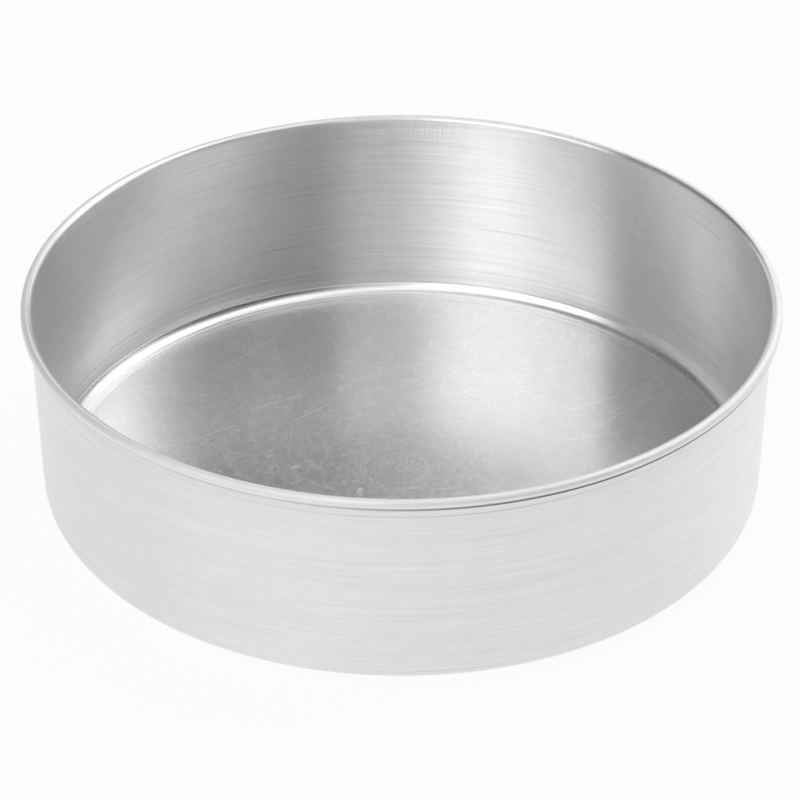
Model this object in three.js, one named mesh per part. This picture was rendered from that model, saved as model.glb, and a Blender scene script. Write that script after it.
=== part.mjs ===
// Round cake pan: one aluminium disc drawn into floor, corner and wall, its edge curled round a steel wire.
// Millimetres, +Z up. The origin is the middle of the underside, where the pan stands.

import * as THREE from 'three';

// Driving dimensions
const HEIGHT = 74.6; // underside to the top of the bead
const MOUTH_DIAMETER = 254; // inside the wall, where the bead begins
const DRAFT_ANGLE = 1.4; // degrees the wall leans out, so that the pan leaves its die
const CORNER_RADIUS = 7; // inside, between floor and wall
const SHEET = 1; // thickness of the aluminium
const WIRE_DIAMETER = 1.5;
const WIRE_CLEARANCE = 0.2; // all round the wire, inside the curl
const CURL_EDGE_GAP = 0.3; // between the cut edge of the curl and the wall
const WIRE_END_GAP = 1.5; // between the butted ends of the wire
const CREASE_DROP = 3.2; // underside of the bead to the middle of the crease below it
const CREASE_WIDTH = 1.4;
const CREASE_DEPTH = 0.15;

// Facets
const TURN_STEPS = 96; // round the axis
const CORNER_STEPS = 6;
const CURL_STEPS = 14;
const BORE_STEPS = 10;
const CREASE_STEPS = 4;
const WIRE_SIDES = 8;

// The bead is the wire, its clearance and one sheet.
const boreRadius = WIRE_DIAMETER / 2 + WIRE_CLEARANCE;
const beadRadius = boreRadius + SHEET;

// Section of the wall, as radius and height. "up" runs along the wall, and "out" is square to it, away from
// the axis.
const draft = THREE.MathUtils.degToRad(DRAFT_ANGLE);
const up = new THREE.Vector2(Math.sin(draft), Math.cos(draft));
const out = new THREE.Vector2(Math.cos(draft), -Math.sin(draft));
const wallAngle = -draft; // direction of "out" in the section

// The curl's middle lies one bead radius outside the wall's inner face and one below the top of the rim.
const mouthInside = new THREE.Vector2(MOUTH_DIAMETER / 2, HEIGHT - beadRadius + beadRadius * Math.sin(draft));
const curlCentre = mouthInside.clone().addScaledVector(out, beadRadius);

// The corner's middle lies one corner radius inside the wall and one above the floor.
const cornerHeight = SHEET + CORNER_RADIUS;
const wallLength = (mouthInside.y + CORNER_RADIUS * Math.sin(draft) - cornerHeight) / Math.cos(draft);
const cornerCentre = mouthInside
  .clone()
  .addScaledVector(up, -wallLength)
  .addScaledVector(out, -CORNER_RADIUS);

// The curl stops where the outer corner of its cut edge comes within the edge gap of the wall.
const curlEnd = wallAngle - Math.acos((CURL_EDGE_GAP - boreRadius) / beadRadius);
const curlStart = wallAngle + Math.PI;

// Points along an arc, both ends included.
function arc(centre, radius, from, to, steps) {
  const points = [];
  for (let step = 0; step <= steps; step += 1) {
    const angle = from + ((to - from) * step) / steps;
    points.push(new THREE.Vector2(Math.cos(angle), Math.sin(angle)).multiplyScalar(radius).add(centre));
  }
  return points;
}

// The shallow crease that the curling tool presses into the outside of the wall, just under the bead.
function crease() {
  const creaseHeight = HEIGHT - 2 * beadRadius - CREASE_DROP;
  const toCrease = (mouthInside.y - creaseHeight) / Math.cos(draft);
  const middle = mouthInside.clone().addScaledVector(up, -toCrease).addScaledVector(out, SHEET);
  const points = [];
  for (let step = 0; step <= CREASE_STEPS; step += 1) {
    const across = step / CREASE_STEPS - 0.5;
    const depth = CREASE_DEPTH * Math.cos(Math.PI * across) ** 2;
    points.push(middle.clone().addScaledVector(up, across * CREASE_WIDTH).addScaledVector(out, -depth));
  }
  return points;
}

// One closed section of the drawn sheet, from the middle of the underside, up the outside, round the curl
// and down the inside to the middle of the floor.
function panShell() {
  const section = [
    new THREE.Vector2(0, 0),
    ...arc(cornerCentre, CORNER_RADIUS + SHEET, -Math.PI / 2, wallAngle, CORNER_STEPS),
    ...crease(),
    ...arc(curlCentre, boreRadius, curlStart, curlEnd, BORE_STEPS),
    ...arc(curlCentre, beadRadius, curlEnd, curlStart, CURL_STEPS),
    ...arc(cornerCentre, CORNER_RADIUS, wallAngle, -Math.PI / 2, CORNER_STEPS),
    new THREE.Vector2(0, SHEET),
  ];
  const geometry = new THREE.LatheGeometry(section, TURN_STEPS);
  geometry.rotateX(Math.PI / 2);
  const material = new THREE.MeshStandardMaterial({ color: 0xc9c9c7, roughness: 0.32, metalness: 1 });
  const mesh = new THREE.Mesh(geometry, material);
  mesh.name = 'pan_shell';
  return mesh;
}

// The wire's middle line: a ring in the curl, open by the gap between its ends.
class WireLine extends THREE.Curve {
  getPoint(share, target = new THREE.Vector3()) {
    const open = WIRE_END_GAP / curlCentre.x;
    const angle = open / 2 + share * (2 * Math.PI - open);
    return target.set(curlCentre.x * Math.cos(angle), curlCentre.x * Math.sin(angle), curlCentre.y);
  }
}

function rimWire() {
  const round = arc(new THREE.Vector2(), WIRE_DIAMETER / 2, 0, 2 * Math.PI, WIRE_SIDES);
  const section = new THREE.Shape(round.slice(0, WIRE_SIDES));
  const geometry = new THREE.ExtrudeGeometry(section, { steps: TURN_STEPS, extrudePath: new WireLine() });
  const material = new THREE.MeshStandardMaterial({ color: 0x9a9c9e, roughness: 0.45, metalness: 1 });
  const mesh = new THREE.Mesh(geometry, material);
  mesh.name = 'rim_wire';
  return mesh;
}

const cakePan = new THREE.Group();
cakePan.add(panShell(), rimWire());

export default cakePan;
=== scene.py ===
import math

import bmesh
import bpy
from mathutils import Matrix, Vector, noise


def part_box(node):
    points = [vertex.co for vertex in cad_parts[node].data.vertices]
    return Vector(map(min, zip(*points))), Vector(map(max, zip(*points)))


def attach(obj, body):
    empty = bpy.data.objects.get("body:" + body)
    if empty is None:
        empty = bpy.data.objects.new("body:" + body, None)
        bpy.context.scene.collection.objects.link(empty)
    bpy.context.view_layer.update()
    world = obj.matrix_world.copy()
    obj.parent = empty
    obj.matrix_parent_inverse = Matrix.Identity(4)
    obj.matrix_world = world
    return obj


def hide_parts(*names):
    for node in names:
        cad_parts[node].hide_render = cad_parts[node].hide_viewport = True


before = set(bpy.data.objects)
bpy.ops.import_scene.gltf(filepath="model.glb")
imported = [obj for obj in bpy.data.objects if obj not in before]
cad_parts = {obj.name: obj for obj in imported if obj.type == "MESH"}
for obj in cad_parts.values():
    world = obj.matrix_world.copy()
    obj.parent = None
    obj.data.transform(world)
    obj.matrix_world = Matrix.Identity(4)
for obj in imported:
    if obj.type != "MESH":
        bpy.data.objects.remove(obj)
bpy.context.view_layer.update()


# The shell: one disc of natural aluminium, drawn into floor, corner and wall, with its edge curled
# outwards round a wire. Its section is drawn once with a pen and turned round the axis.
shell_low, shell_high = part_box("pan_shell")
SHEET = 0.001
BEAD_RADIUS = 0.00195
BORE_RADIUS = BEAD_RADIUS - SHEET
CORNER_RADIUS = 0.007
DRAFT = math.radians(1.4)
CURL_EDGE_GAP = 0.0003
TURN_STEPS = 192

up = Vector((math.sin(DRAFT), 0, math.cos(DRAFT)))
out = Vector((math.cos(DRAFT), 0, -math.sin(DRAFT)))
curl_centre = Vector((shell_high.x - BEAD_RADIUS, 0, shell_high.z - BEAD_RADIUS))
mouth_inside = curl_centre - out * BEAD_RADIUS
mouth_outside = mouth_inside + out * SHEET
corner_drop = mouth_inside.z + CORNER_RADIUS * math.sin(DRAFT) - SHEET - CORNER_RADIUS
foot_inside = mouth_inside - up * (corner_drop / math.cos(DRAFT))
corner_centre = foot_inside - out * CORNER_RADIUS
corner_turn = math.pi / 2 - DRAFT
curl_turn = math.pi + math.acos((CURL_EDGE_GAP - BORE_RADIUS) / BEAD_RADIUS)


def draw_line(bm, pen, end, steps):
    """Draw from the pen's vertex straight to the end, and return the last vertex."""
    start = pen.co.copy()
    for step in range(1, steps + 1):
        pen = bmesh.ops.extrude_vert_indiv(bm, verts=[pen])["verts"][0]
        pen.co = start.lerp(end, step / steps)
    return pen


def draw_arc(bm, pen, centre, turn, steps):
    """Draw from the pen's vertex anticlockwise round a centre, and return the last vertex."""
    made = bmesh.ops.spin(bm, geom=[pen], cent=centre, axis=(0, 1, 0), angle=-turn, steps=steps)
    return next(part for part in made["geom_last"] if isinstance(part, bmesh.types.BMVert))


def draw_dip(bm, pen, middle, along, into, width, depth):
    """Draw a rounded dip across a straight stretch of the section, and return the last vertex."""
    steps = 12
    for step in range(steps + 1):
        across = step / steps - 0.5
        dip = depth * math.cos(math.pi * across) ** 2
        pen = draw_line(bm, pen, middle + along * (across * width) + into * dip, 1)
    return pen


shell = bmesh.new()
pen = shell.verts.new((0, 0, 0))
pen = draw_line(shell, pen, Vector((corner_centre.x, 0, 0)), 12)
pen = draw_arc(shell, pen, corner_centre, corner_turn, 24)

# The curling tool leaves a shallow crease in the outside of the wall, just under the bead.
CREASE_DROP = 0.0032
CREASE_WIDTH = 0.0014
CREASE_DEPTH = 0.00015
crease = mouth_outside - up * ((mouth_outside.z - shell_high.z + 2 * BEAD_RADIUS + CREASE_DROP) / up.z)
pen = draw_line(shell, pen, crease - up * CREASE_WIDTH, 36)
pen = draw_dip(shell, pen, crease, up, -out, CREASE_WIDTH, CREASE_DEPTH)
pen = draw_line(shell, pen, mouth_outside, 6)
pen = draw_arc(shell, pen, curl_centre, -curl_turn, 20)
pen = draw_line(shell, pen, curl_centre + (pen.co - curl_centre) * (BEAD_RADIUS / BORE_RADIUS), 1)
pen = draw_arc(shell, pen, curl_centre, curl_turn, 40)

# The forming punch burnishes the inside corner, and leaves fine rings in it and just above it.
BURNISH_START = math.radians(24)
RING_WIDTH = 0.0005
RING_DEPTH = 0.00007
WALL_RING_RISES = (0.0036, 0.0011)
CURVE_RING_TURNS = [math.radians(turn) for turn in (10, 29, 64, 76, 86)]
pen = draw_line(shell, pen, foot_inside + up * (WALL_RING_RISES[0] + RING_WIDTH), 40)
for ring_rise in WALL_RING_RISES:
    pen = draw_dip(shell, pen, foot_inside + up * ring_rise, -up, out, RING_WIDTH, RING_DEPTH)
pen = draw_line(shell, pen, foot_inside, 2)
pen = draw_arc(shell, pen, corner_centre, -BURNISH_START, 30)
burnish_start = pen.co.copy()
pen = draw_arc(shell, pen, corner_centre, BURNISH_START - corner_turn, 80)
for vert in shell.verts:
    arm = vert.co - corner_centre
    if abs(arm.length - CORNER_RADIUS) < 1e-6:
        for turn in CURVE_RING_TURNS:
            across = (math.atan2(-arm.z, arm.x) - DRAFT - turn) * CORNER_RADIUS / RING_WIDTH
            if abs(across) < 0.5:
                vert.co += arm.normalized() * RING_DEPTH * math.cos(math.pi * across) ** 2
pen = draw_line(shell, pen, Vector((0, 0, SHEET)), 40)
bmesh.ops.spin(
    shell, geom=shell.verts[:] + shell.edges[:], cent=(0, 0, 0), axis=(0, 0, 1),
    angle=2 * math.pi, steps=TURN_STEPS, use_merge=True,
)
bmesh.ops.remove_doubles(shell, verts=shell.verts, dist=1e-6)
bmesh.ops.recalc_face_normals(shell, faces=shell.faces)

# Each stretch of the section has its own finish.
SHEET_FACES, INSIDE, BEAD, OUTSIDE, CORNER = range(5)
for face in shell.faces:
    face.smooth = True
    middle = face.calc_center_median()
    radius = math.hypot(middle.x, middle.y)
    tilt = face.normal.z - (face.normal.x * middle.x + face.normal.y * middle.y) / radius
    if radius < corner_centre.x:
        face.material_index = SHEET_FACES
    elif math.hypot(radius - curl_centre.x, middle.z - curl_centre.z) < BEAD_RADIUS:
        face.material_index = BEAD
    elif tilt < 0:
        face.material_index = OUTSIDE
    elif middle.z < burnish_start.z:
        face.material_index = CORNER
    else:
        face.material_index = INSIDE

# Drawing leaves the sheet very slightly wavy: the floor up and down, and the wall in and out.
WAVE_HEIGHT = 0.00004
WAVE_LENGTH = 0.045
for vert in shell.verts:
    if vert.co.z > SHEET / 2:
        wave = WAVE_HEIGHT * noise.noise(vert.co / WAVE_LENGTH)
        upright = min(1, (vert.co.z - SHEET / 2) / CORNER_RADIUS)
        outward = Vector((vert.co.x, vert.co.y, 0)).normalized()
        vert.co += wave * (outward * upright + Vector((0, 0, 1)) * (1 - upright))
for edge in shell.edges:
    edge.smooth = edge.calc_face_angle(0) < math.radians(40)
shell_mesh = bpy.data.meshes.new("pan_shell_dressed")
shell.to_mesh(shell_mesh)
shell.free()
pan = bpy.data.objects.new("pan_shell_dressed", shell_mesh)
bpy.context.collection.objects.link(pan)
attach(pan, "root")
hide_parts("pan_shell")


def linear(hex_colour):
    """A written sRGB colour as the linear colour that shaders take."""
    channels = [int(hex_colour[i : i + 2], 16) / 255 for i in (1, 3, 5)]
    return [c / 12.92 if c <= 0.04045 else ((c + 0.055) / 1.055) ** 2.4 for c in channels] + [1]


def add_node(tree, kind, settings=None, **inputs):
    """Add a node and return its output; an input, named or _numbered, takes a socket or a value."""
    node = tree.nodes.new(kind)
    for name, value in (settings or {}).items():
        setattr(node, name, value)
    for name, value in inputs.items():
        socket = node.inputs[int(name[1:])] if name[1:].isdigit() else node.inputs[name.replace("_", " ")]
        if isinstance(value, bpy.types.NodeSocket):
            tree.links.new(value, socket)
        else:
            socket.default_value = value
    return next((output for output in node.outputs if output.enabled), None)


def new_material(name):
    """A new material, its empty node tree and the place on the object, in metres."""
    material = bpy.data.materials.new(name)
    material.use_nodes = True
    material.node_tree.nodes.clear()
    place = material.node_tree.nodes.new("ShaderNodeTexCoord").outputs["Object"]
    return material, material.node_tree, place


def scratches(tree, place, turn, length, width, rarity):
    """Straight scratches of about this length and width, in metres: 1 in them, 0 between."""
    laid = add_node(
        tree, "ShaderNodeMapping", {"vector_type": "TEXTURE"},
        Vector=place, Rotation=(0, 0, math.radians(turn)), Scale=(length, width, width),
    )
    grain = add_node(tree, "ShaderNodeTexNoise", Vector=laid, Scale=1, Detail=0)
    return add_node(
        tree, "ShaderNodeMapRange", {"interpolation_type": "SMOOTHSTEP"},
        Value=grain, From_Min=rarity, From_Max=rarity + 0.1,
    )


def strokes(tree, place, lines, width):
    """Single scratches, each from one place to another, in metres: 1 in them, 0 beside them."""
    worn = 0
    for start, end in lines:
        run = Vector(end) - Vector(start)
        reach = add_node(tree, "ShaderNodeVectorMath", {"operation": "SUBTRACT"}, _0=place, _1=start)
        share = add_node(
            tree, "ShaderNodeVectorMath", {"operation": "DOT_PRODUCT"},
            _0=reach, _1=run / run.length_squared,
        )
        share = add_node(tree, "ShaderNodeClamp", Value=share)
        nearest = add_node(tree, "ShaderNodeVectorMath", {"operation": "SCALE"}, _0=run, Scale=share)
        away = add_node(tree, "ShaderNodeVectorMath", {"operation": "DISTANCE"}, _0=reach, _1=nearest)
        mark = add_node(
            tree, "ShaderNodeMapRange", {"interpolation_type": "SMOOTHSTEP"},
            Value=away, From_Min=width, From_Max=0,
        )
        worn = add_node(tree, "ShaderNodeMath", {"operation": "MAXIMUM"}, _0=mark, _1=worn)
    return worn


def ring_lines(tree, place, length, width):
    """Noise drawn out into lines round the axis, of about this length and width, in metres."""
    flat = add_node(tree, "ShaderNodeVectorMath", {"operation": "MULTIPLY"}, _0=place, _1=(1, 1, 0))
    heading = add_node(tree, "ShaderNodeVectorMath", {"operation": "NORMALIZE"}, _0=flat)
    around = add_node(
        tree, "ShaderNodeVectorMath", {"operation": "SCALE"}, _0=heading, Scale=mouth_inside.x / length
    )
    reach = add_node(tree, "ShaderNodeVectorMath", {"operation": "LENGTH"}, _0=flat)
    rise = add_node(
        tree, "ShaderNodeVectorMath", {"operation": "DOT_PRODUCT"}, _0=place, _1=(0, 0, 1 / width)
    )
    climb = add_node(
        tree, "ShaderNodeMath", {"operation": "MULTIPLY_ADD"}, _0=reach, _1=1 / width, _2=rise
    )
    laid = add_node(
        tree, "ShaderNodeVectorMath", {"operation": "MULTIPLY_ADD"}, _0=climb, _1=(0, 0, 1), _2=around
    )
    return add_node(tree, "ShaderNodeTexNoise", Vector=laid, Scale=1, Detail=2, Roughness=0.6)


def dings(tree, place, places, radius):
    """Round dings at these places, in metres: 1 in the middle, 0 outside the radius."""
    sum_of_dings = 0
    for ding in places:
        away = add_node(tree, "ShaderNodeVectorMath", {"operation": "DISTANCE"}, _0=place, _1=ding)
        deep = add_node(
            tree, "ShaderNodeMapRange", {"interpolation_type": "SMOOTHSTEP"},
            Value=away, From_Min=radius, From_Max=0,
        )
        sum_of_dings = add_node(tree, "ShaderNodeMath", {"operation": "ADD"}, _0=deep, _1=sum_of_dings)
    return sum_of_dings


# Satin aluminium sheet, as it comes from the rolling mill, on the floor: a soft mirror under a web of
# hair-fine bright scratches from use. They are about 0.05 mm wide, and drawn 0.3 mm wide to show.
HAIR_TURNS = range(8, 180, 24)
HAIR_LENGTH = 0.009
HAIR_WIDTH = 0.0003
HAIR_RARITY = 0.66
HAIR_SHARE = 0.4
CLOUD_SIZE = 0.004
CLOUD_SHARE = 0.4
STROKE_WIDTH = 0.0004
DING_RADIUS = 0.0026
DING_DEPTH = 0.00012
FLOOR_STROKES = [
    ((-0.068, 0.066, SHEET), (-0.046, 0.091, SHEET)),
    ((-0.053, 0.040, SHEET), (-0.037, 0.048, SHEET)),
    ((-0.071, 0.021, SHEET), (-0.061, 0.028, SHEET)),
    ((-0.040, 0.030, SHEET), (-0.026, 0.043, SHEET)),
    ((0.062, 0.038, SHEET), (0.086, 0.052, SHEET)),
    ((0.070, 0.026, SHEET), (0.092, 0.047, SHEET)),
    ((0.058, 0.018, SHEET), (0.080, 0.024, SHEET)),
]
FLOOR_DINGS = [
    (-0.0465, 0.0068, SHEET),
    (-0.0372, -0.0004, SHEET),
    (-0.0135, -0.0145, SHEET),
]
sheet_metal, tree, place = new_material("satin_aluminium_sheet")
worn = strokes(tree, place, FLOOR_STROKES, STROKE_WIDTH)
for turn in HAIR_TURNS:
    layer = scratches(tree, place, turn, HAIR_LENGTH, HAIR_WIDTH, HAIR_RARITY)
    worn = add_node(tree, "ShaderNodeMath", {"operation": "MULTIPLY_ADD"}, _0=layer, _1=HAIR_SHARE, _2=worn)
tone = add_node(
    tree, "ShaderNodeMix", {"data_type": "RGBA"}, _0=worn, _6=linear("#EAEAEA"), _7=linear("#FFFFFF")
)
cloud = add_node(tree, "ShaderNodeTexNoise", Vector=place, Scale=1 / CLOUD_SIZE, Detail=3)
worn = add_node(tree, "ShaderNodeMath", {"operation": "MULTIPLY_ADD"}, _0=cloud, _1=CLOUD_SHARE, _2=worn)
rough = add_node(tree, "ShaderNodeMapRange", Value=worn, To_Min=0.26, To_Max=0.38)
bump = add_node(
    tree, "ShaderNodeBump", {"invert": True},
    Strength=1, Distance=DING_DEPTH, Height=dings(tree, place, FLOOR_DINGS, DING_RADIUS),
)
shader = add_node(
    tree, "ShaderNodeBsdfPrincipled", Base_Color=tone, Metallic=1, Roughness=rough, Normal=bump
)
add_node(tree, "ShaderNodeOutputMaterial", Surface=shader)


# Drawn aluminium, as the die leaves it, on both sides of the wall: fine lines run round it, so highlights
# spread up and down. The lines are about 0.1 mm wide, and drawn 0.4 mm wide to show.
FINE_LENGTH = 0.05
FINE_WIDTH = 0.0004
LONG_LENGTH = 0.1
LONG_WIDTH = 0.0006
LONG_COLOUR = "#D8D8D8"
PATCH_SIZE = 0.03
MOTTLE_SIZE = 0.007
MOTTLE_SHARE = 0.12
RUB_TURNS = (-8, -16, -24)
RUB_LENGTH = 0.02
RUB_WIDTH = 0.0005
RUB_RARITY = 0.66
RUB_REACH = 0.045
RUB_CORE = 0.015
RUB_COLOURS = ("#F0F0F0", "#FFFFFF")
WRINKLE_BANDS = (
    (mouth_inside.z - 0.0075, mouth_inside.z - 0.005),
    (mouth_inside.z, mouth_inside.z - 0.0015),
)
WRINKLE_SIZE = (0.0009, 0.0009, 0.004)
RELIEF_UNIT = 0.000001
WRINKLE_RELIEF = 80
RUB_RELIEF = 4
PIT_RELIEF = -60
PIT_RADIUS = 0.0008


def drawn_wall(name, dark, light, pits, rubs):
    """One side of the wall, with pits at these places and slanting scratches round each place of rubs.

    A place of rubs is given along the unrolled wall and up it."""
    material, tree, place = new_material(name)
    fine = ring_lines(tree, place, FINE_LENGTH, FINE_WIDTH)
    fine = add_node(tree, "ShaderNodeMapRange", Value=fine, From_Min=0.3, From_Max=0.7)
    long = ring_lines(tree, place, LONG_LENGTH, LONG_WIDTH)
    long = add_node(
        tree, "ShaderNodeMapRange", {"interpolation_type": "SMOOTHSTEP"},
        Value=long, From_Min=0.64, From_Max=0.74,
    )
    patch = add_node(tree, "ShaderNodeTexNoise", Vector=place, Scale=1 / PATCH_SIZE, Detail=1)
    patch = add_node(tree, "ShaderNodeMapRange", Value=patch, From_Min=0.4, From_Max=0.6)
    long = add_node(tree, "ShaderNodeMath", {"operation": "MULTIPLY"}, _0=long, _1=patch)
    fine = add_node(tree, "ShaderNodeMath", {"operation": "MULTIPLY_ADD"}, _0=long, _1=-0.9, _2=fine)
    mottle = add_node(
        tree, "ShaderNodeTexNoise", Vector=place, Scale=1 / MOTTLE_SIZE, Detail=3, Roughness=0.6
    )
    mottle = add_node(
        tree, "ShaderNodeMapRange", Value=mottle,
        From_Min=0.35, From_Max=0.65, To_Min=-MOTTLE_SHARE, To_Max=MOTTLE_SHARE,
    )
    mottle = add_node(tree, "ShaderNodeMath", {"operation": "ADD"}, _0=mottle, _1=fine)
    tone = add_node(
        tree, "ShaderNodeMix", {"data_type": "RGBA"}, _0=mottle, _6=linear(dark), _7=linear(light)
    )
    tone = add_node(
        tree, "ShaderNodeMix", {"data_type": "RGBA"}, _0=long, _6=tone, _7=linear(LONG_COLOUR)
    )
    rough = add_node(tree, "ShaderNodeMapRange", Value=fine, To_Min=0.34, To_Max=0.30)

    # Unrolled, the wall is flat: x runs along it from the back of the pan and y up it.
    apart = add_node(tree, "ShaderNodeSeparateXYZ", Vector=place).node.outputs
    azimuth = add_node(tree, "ShaderNodeMath", {"operation": "ARCTAN2"}, _0=apart["X"], _1=apart["Y"])
    along = add_node(tree, "ShaderNodeMath", {"operation": "MULTIPLY"}, _0=azimuth, _1=mouth_inside.x)
    unrolled = add_node(tree, "ShaderNodeCombineXYZ", X=along, Y=apart["Z"])
    for rub in rubs:
        marks = 0
        for turn in RUB_TURNS:
            layer = scratches(tree, unrolled, turn, RUB_LENGTH, RUB_WIDTH, RUB_RARITY)
            marks = add_node(tree, "ShaderNodeMath", {"operation": "MAXIMUM"}, _0=layer, _1=marks)
        away = add_node(tree, "ShaderNodeVectorMath", {"operation": "DISTANCE"}, _0=unrolled, _1=rub)
        near = add_node(
            tree, "ShaderNodeMapRange", {"interpolation_type": "SMOOTHSTEP"},
            Value=away, From_Min=RUB_REACH, From_Max=RUB_CORE,
        )
        rubbed = add_node(
            tree, "ShaderNodeMix", {"data_type": "RGBA"},
            _0=marks, _6=linear(RUB_COLOURS[0]), _7=linear(RUB_COLOURS[1]),
        )
        tone = add_node(tree, "ShaderNodeMix", {"data_type": "RGBA"}, _0=near, _6=tone, _7=rubbed)
        marks = add_node(tree, "ShaderNodeMath", {"operation": "MULTIPLY"}, _0=marks, _1=near)
        rough = add_node(tree, "ShaderNodeMath", {"operation": "MULTIPLY_ADD"}, _0=marks, _1=0.2, _2=rough)
        fine = add_node(
            tree, "ShaderNodeMath", {"operation": "MULTIPLY_ADD"}, _0=marks, _1=RUB_RELIEF, _2=fine
        )

    # The blank holder wrinkles the sheet a little just under the rim, in patches.
    height = add_node(tree, "ShaderNodeVectorMath", {"operation": "DOT_PRODUCT"}, _0=place, _1=(0, 0, 1))
    ticks = add_node(
        tree, "ShaderNodeMapping", {"vector_type": "TEXTURE"}, Vector=place, Scale=WRINKLE_SIZE
    )
    wrinkles = add_node(tree, "ShaderNodeTexNoise", Vector=ticks, Scale=1, Detail=1)
    for far, near in WRINKLE_BANDS:
        edge = add_node(
            tree, "ShaderNodeMapRange", {"interpolation_type": "SMOOTHSTEP"},
            Value=height, From_Min=far, From_Max=near,
        )
        wrinkles = add_node(tree, "ShaderNodeMath", {"operation": "MULTIPLY"}, _0=wrinkles, _1=edge)
    wrinkles = add_node(tree, "ShaderNodeMath", {"operation": "MULTIPLY"}, _0=wrinkles, _1=patch)
    relief = add_node(
        tree, "ShaderNodeMath", {"operation": "MULTIPLY_ADD"}, _0=wrinkles, _1=WRINKLE_RELIEF, _2=fine
    )
    relief = add_node(
        tree, "ShaderNodeMath", {"operation": "MULTIPLY_ADD"},
        _0=dings(tree, place, pits, PIT_RADIUS), _1=PIT_RELIEF, _2=relief,
    )
    bump = add_node(tree, "ShaderNodeBump", Strength=1, Distance=RELIEF_UNIT, Height=relief)
    tangent = add_node(tree, "ShaderNodeTangent", {"direction_type": "RADIAL", "axis": "Z"})
    shader = add_node(
        tree, "ShaderNodeBsdfPrincipled", Base_Color=tone, Metallic=1, Roughness=rough, Normal=bump,
        Anisotropic=0.93, Anisotropic_Rotation=0.25, Tangent=tangent,
    )
    add_node(tree, "ShaderNodeOutputMaterial", Surface=shader)
    return material


INSIDE_RUBS = [(0.097, 0.045, 0)]
INSIDE_PITS = [(0.0939, 0.0850, 0.012)]
OUTSIDE_PITS = [(0.0216, -0.1260, 0.0568), (0.0353, -0.1228, 0.0243)]
inside_metal = drawn_wall("drawn_aluminium_inside", "#EFEFEF", "#FFFFFF", INSIDE_PITS, INSIDE_RUBS)
outside_metal = drawn_wall("drawn_aluminium_outside", "#E6E6E6", "#EFEFEF", OUTSIDE_PITS, [])


TOOL_LINE_LENGTH = 0.03
TOOL_LINE_WIDTH = 0.0003
# These set the painted shade under the bead: the spot where it is faintest, how far off it is full, and its
# share at that spot.
SHADE_FAINT_SPOT = (-0.075, -0.104)
SHADE_FAINT_RADIUS = 0.03
SHADE_FULL_RADIUS = 0.13
SHADE_FAINT_SHARE = 0.25


def tooled(name, dark, light, smooth, rough, painted_shade=None):
    """Metal that a tool has rubbed as it turned: faint lines run round it, lighter where smoother.

    Painted shade, where it is given, darkens the tone between two heights, faintest at one spot."""
    material, tree, place = new_material(name)
    lines = ring_lines(tree, place, TOOL_LINE_LENGTH, TOOL_LINE_WIDTH)
    lines = add_node(tree, "ShaderNodeMapRange", Value=lines, From_Min=0.3, From_Max=0.7)
    tone = add_node(
        tree, "ShaderNodeMix", {"data_type": "RGBA"}, _0=lines, _6=linear(dark), _7=linear(light)
    )
    # Painted shade: a dark tone between two heights, faint near one spot and full further off.
    if painted_shade:
        shade_top, shade_foot, shade_colour = painted_shade
        height = add_node(
            tree, "ShaderNodeVectorMath", {"operation": "DOT_PRODUCT"}, _0=place, _1=(0, 0, 1)
        )
        away = add_node(
            tree, "ShaderNodeVectorMath", {"operation": "DISTANCE"},
            _0=place, _1=(*SHADE_FAINT_SPOT, shade_top),
        )
        uneven = add_node(
            tree, "ShaderNodeMapRange", {"interpolation_type": "SMOOTHSTEP"},
            Value=away, From_Min=SHADE_FAINT_RADIUS, From_Max=SHADE_FULL_RADIUS, To_Min=SHADE_FAINT_SHARE,
        )
        shaded = add_node(
            tree, "ShaderNodeMapRange", {"interpolation_type": "SMOOTHSTEP"},
            Value=height, From_Min=shade_top, From_Max=shade_foot, To_Max=uneven,
        )
        tone = add_node(
            tree, "ShaderNodeMix", {"data_type": "RGBA"}, _0=shaded, _6=tone, _7=linear(shade_colour)
        )
    gloss = add_node(tree, "ShaderNodeMapRange", Value=lines, To_Min=rough, To_Max=smooth)
    shader = add_node(tree, "ShaderNodeBsdfPrincipled", Base_Color=tone, Metallic=1, Roughness=gloss)
    add_node(tree, "ShaderNodeOutputMaterial", Surface=shader)
    return material


# Rolled aluminium on the bead, dulled by the curling roller: broad soft highlights, and painted shade in
# the groove under it, lighter towards the front left. Burnished aluminium in the corner, rubbed by the
# punch: clearer highlights.
# The dark band on the lower half of the bead is painted shade, lighter towards the front left.
bead_painted_shade = (curl_centre.z + 0.08 * BEAD_RADIUS, curl_centre.z - 0.4 * BEAD_RADIUS, "#6C6C6C")
bead_metal = tooled("rolled_aluminium_bead", "#F2F2F2", "#FCFCFC", 0.6, 0.7, bead_painted_shade)
corner_metal = tooled("burnished_aluminium_corner", "#ECECEC", "#F8F8F8", 0.24, 0.32)
for metal in (sheet_metal, inside_metal, bead_metal, outside_metal, corner_metal):
    shell_mesh.materials.append(metal)


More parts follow.
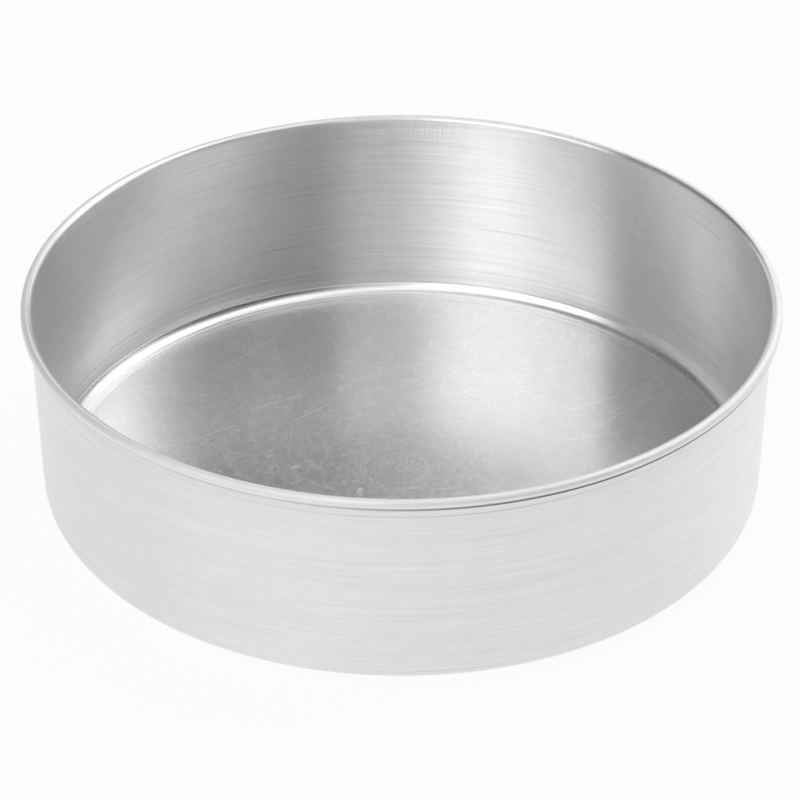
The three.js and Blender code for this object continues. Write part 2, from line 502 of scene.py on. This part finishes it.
# The wire: a ring of steel wire that stiffens the rim, lying in the curl with its ends butted.
wire_low, wire_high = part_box("rim_wire")
WIRE_RADIUS = (wire_high.z - wire_low.z) / 2
WIRE_END_GAP = 0.0015
wire = bmesh.new()
ring_radius = wire_high.y - WIRE_RADIUS
bmesh.ops.create_circle(wire, cap_ends=True, radius=WIRE_RADIUS, segments=16)
bmesh.ops.rotate(wire, verts=wire.verts, cent=(0, 0, 0), matrix=Matrix.Rotation(math.pi / 2, 3, "X"))
bmesh.ops.translate(wire, verts=wire.verts, vec=(ring_radius, 0, (wire_low.z + wire_high.z) / 2))
open_turn = WIRE_END_GAP / ring_radius
bmesh.ops.spin(
    wire, geom=wire.faces[:], cent=(0, 0, 0), axis=(0, 0, 1), angle=2 * math.pi - open_turn, steps=128
)
bmesh.ops.recalc_face_normals(wire, faces=wire.faces)
wire_mesh = bpy.data.meshes.new("rim_wire_dressed")
wire.to_mesh(wire_mesh)
wire.free()
rim_wire = bpy.data.objects.new("rim_wire_dressed", wire_mesh)
bpy.context.collection.objects.link(rim_wire)
# Drawn steel wire, galvanized: a dull grey metal with faint lines.
wire_mesh.materials.append(tooled("drawn_steel_wire", "#9C9EA0", "#B2B4B6", 0.35, 0.5))
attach(rim_wire, "root")
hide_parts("rim_wire")


# The table: a plain white sheet that runs out of the picture on every side.
TABLE_SIZE = 12
TABLE_GLOW = 0.93
table = bmesh.new()
bmesh.ops.create_grid(table, x_segments=1, y_segments=1, size=TABLE_SIZE / 2)
table_mesh = bpy.data.meshes.new("table")
table.to_mesh(table_mesh)
table.free()
table_top = bpy.data.objects.new("table", table_mesh)
bpy.context.collection.objects.link(table_top)
# White paper, matt: it shows as plain white, with a faint shadow.
white, tree, _ = new_material("white_table")
ray = tree.nodes.new("ShaderNodeLightPath").outputs
paper = add_node(tree, "ShaderNodeBsdfDiffuse", Color=linear("#F4F4F4"))
glow = add_node(tree, "ShaderNodeEmission", Color=(1, 1, 1, 1), Strength=1)
seen = add_node(
    tree, "ShaderNodeMath", {"operation": "MAXIMUM"}, _0=ray["Is Camera Ray"], _1=ray["Is Glossy Ray"]
)
seen = add_node(
    tree, "ShaderNodeMath", {"operation": "MAXIMUM"}, _0=seen, _1=ray["Is Transmission Ray"]
)
seen = add_node(tree, "ShaderNodeMath", {"operation": "MULTIPLY"}, _0=seen, _1=TABLE_GLOW)
surface = add_node(tree, "ShaderNodeMixShader", _0=seen, _1=paper, _2=glow)
add_node(tree, "ShaderNodeOutputMaterial", Surface=surface)
table_mesh.materials.append(white)


# The light: soft boxes all round and overhead, the strongest at the front left, in a dim room with a paler
# foot. Each box is given by its azimuth from the camera's side, its rise, width, height and strength.
LIGHT_AWAY = 1.5
FOOT_TOP = (0.30, 0.36)
FOOT_LIGHT = 0.54
ROOM_LIGHT = 0.07
SOFT_BOXES = {
    "key": (-46, 44.6, 1.36, 0.95, 1.71),
    "left": (-98, 36, 0.60, 0.9, 0.14),
    "front": (3, 47.7, 0.81, 1.29, 0.53),
    "right": (112.3, 44.6, 0.84, 2.18, 0.92),
    "rear": (143.3, 41.5, 1.36, 1.29, 1.14),
    "rear_left": (-162.5, 64.2, 0.57, 1.12, 0.70),
    "low_rear": (-158, 22, 1.0, 0.42, 0.60),
    "top": (5.2, 77.3, 1.71, 0.68, 0.92),
}
aim = Vector((0, 0, shell_high.z / 2))
for name, (azimuth, rise, width, height, strength) in SOFT_BOXES.items():
    turn = math.radians(azimuth)
    flat = math.cos(math.radians(rise))
    heading = Vector((flat * math.sin(turn), -flat * math.cos(turn), math.sin(math.radians(rise))))
    lamp = bpy.data.lights.new(name, "AREA")
    lamp.shape = "RECTANGLE"
    lamp.size = width
    lamp.size_y = height
    lamp.energy = strength * math.pi * width * height
    lamp_object = bpy.data.objects.new(name, lamp)
    lamp_object.location = aim + heading * LIGHT_AWAY
    lamp_object.rotation_euler = heading.to_track_quat("Z", "Y").to_euler()
    lamp_object.visible_camera = False
    bpy.context.collection.objects.link(lamp_object)
world = bpy.data.worlds.new("studio")
bpy.context.scene.world = world
world.use_nodes = True
tree = world.node_tree
tree.nodes.clear()
toward = tree.nodes.new("ShaderNodeTexCoord").outputs["Generated"]
rise = add_node(tree, "ShaderNodeVectorMath", {"operation": "DOT_PRODUCT"}, _0=toward, _1=(0, 0, 1))
room_light = add_node(
    tree, "ShaderNodeMapRange", {"interpolation_type": "SMOOTHSTEP"},
    Value=rise, From_Min=FOOT_TOP[0], From_Max=FOOT_TOP[1], To_Min=FOOT_LIGHT, To_Max=ROOM_LIGHT,
)
room = add_node(tree, "ShaderNodeBackground", Color=(1, 1, 1, 1), Strength=room_light)
add_node(tree, "ShaderNodeOutputWorld", Surface=room)


# The camera: a long lens, about 1.2 m away and a third of a right angle above the table.
CAMERA_AWAY = 1.0081
CAMERA_UP = 0.6702
CAMERA_SIDE = -0.0005
CAMERA_PITCH = math.radians(32.432)
LENS = 152.895
SENSOR = 36
camera_data = bpy.data.cameras.new("camera")
camera_data.lens = LENS
camera_data.sensor_width = SENSOR
camera_data.clip_start = 0.05
camera = bpy.data.objects.new("camera", camera_data)
camera.location = (CAMERA_SIDE, -CAMERA_AWAY, CAMERA_UP)
camera.rotation_euler = (math.pi / 2 - CAMERA_PITCH, 0, 0)
bpy.context.collection.objects.link(camera)
bpy.context.scene.camera = camera
bpy.context.scene.view_settings.view_transform = "Standard"
